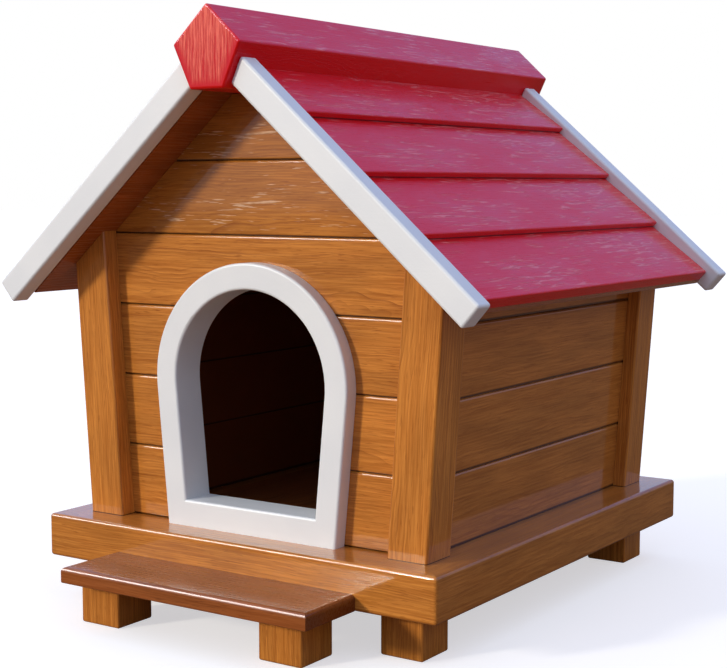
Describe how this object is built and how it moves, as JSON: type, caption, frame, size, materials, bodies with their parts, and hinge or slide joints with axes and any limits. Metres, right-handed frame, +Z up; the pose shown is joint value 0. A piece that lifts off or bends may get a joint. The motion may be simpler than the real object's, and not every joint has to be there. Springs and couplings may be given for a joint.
{
  "type": "dog house",
  "caption": "Gabled timber dog house on a raised deck with block feet, leaning corner posts, arched white doorway, lapped red lift-off roof and a low front step.",
  "frame": {"origin": "middle of the footprint on the ground, at the bottom centre of the overall box", "axes": "+Z up, +Y from the doorway to the back of the house along the ridge, +X to the right as seen from the front"},
  "size_m": [0.9648, 1.1174, 1.0103],
  "materials": {
    "honey_varnish": "softwood under glossy honey varnish, straight grain",
    "dark_stain": "softwood under glossy red-brown stain",
    "brown_stain": "smooth board under red-brown varnish",
    "red_paint": "brushed gloss red paint over wood grain",
    "white_paint": "smooth satin white paint",
    "bare_wood": "planed softwood with a thin clear coat"
  },
  "bodies": {
    "house": {"deck_rail_front": "honey_varnish", "deck_rail_left": "honey_varnish", "deck_rail_rear": "honey_varnish", "deck_rail_right": "honey_varnish", "door_surround": "white_paint", "dowels": "bare_wood", "floor_bearer_left": "bare_wood", "floor_bearer_right": "bare_wood", "floor_panel": "bare_wood", "foot_front_left": "honey_varnish", "foot_front_right": "honey_varnish", "foot_rear_left": "honey_varnish", "foot_rear_right": "honey_varnish", "front_board_1_left": "honey_varnish", "front_board_1_right": "honey_varnish", "front_board_2_left": "honey_varnish", "front_board_2_right": "honey_varnish", "front_board_3_left": "honey_varnish", "front_board_3_right": "honey_varnish", "front_board_4": "honey_varnish", "front_gable_lower": "honey_varnish", "front_gable_upper": "honey_varnish", "left_board_1": "honey_varnish", "left_board_2": "honey_varnish", "left_board_3": "honey_varnish", "left_board_4": "honey_varnish", "post_front_left": "honey_varnish", "post_front_right": "honey_varnish", "post_rear_left": "honey_varnish", "post_rear_right": "honey_varnish", "rear_board_1": "honey_varnish", "rear_board_2": "honey_varnish", "rear_board_3": "honey_varnish", "rear_board_4": "honey_varnish", "rear_gable_lower": "honey_varnish", "rear_gable_upper": "honey_varnish", "right_board_1": "honey_varnish", "right_board_2": "honey_varnish", "right_board_3": "honey_varnish", "right_board_4": "honey_varnish", "step_leg_left": "honey_varnish", "step_leg_right": "honey_varnish", "step_tread": "dark_stain"},
    "roof": {"bargeboard_front_left": "white_paint", "bargeboard_front_right": "white_paint", "bargeboard_rear_left": "white_paint", "bargeboard_rear_right": "white_paint", "ridge_beam": "red_paint", "roof_gusset_front": "brown_stain", "roof_gusset_rear": "brown_stain", "roof_plank_left_1": "red_paint", "roof_plank_left_2": "red_paint", "roof_plank_left_3": "red_paint", "roof_plank_left_4": "red_paint", "roof_plank_right_1": "red_paint", "roof_plank_right_2": "red_paint", "roof_plank_right_3": "red_paint", "roof_plank_right_4": "red_paint", "roof_sheathing_left": "brown_stain", "roof_sheathing_right": "brown_stain"}
  },
  "joints": [
    {"name": "roof_lift", "type": "slide", "parent": "house", "child": "roof", "axis": [0, 0, 1], "range_m": [0, 0.36]}
  ]
}
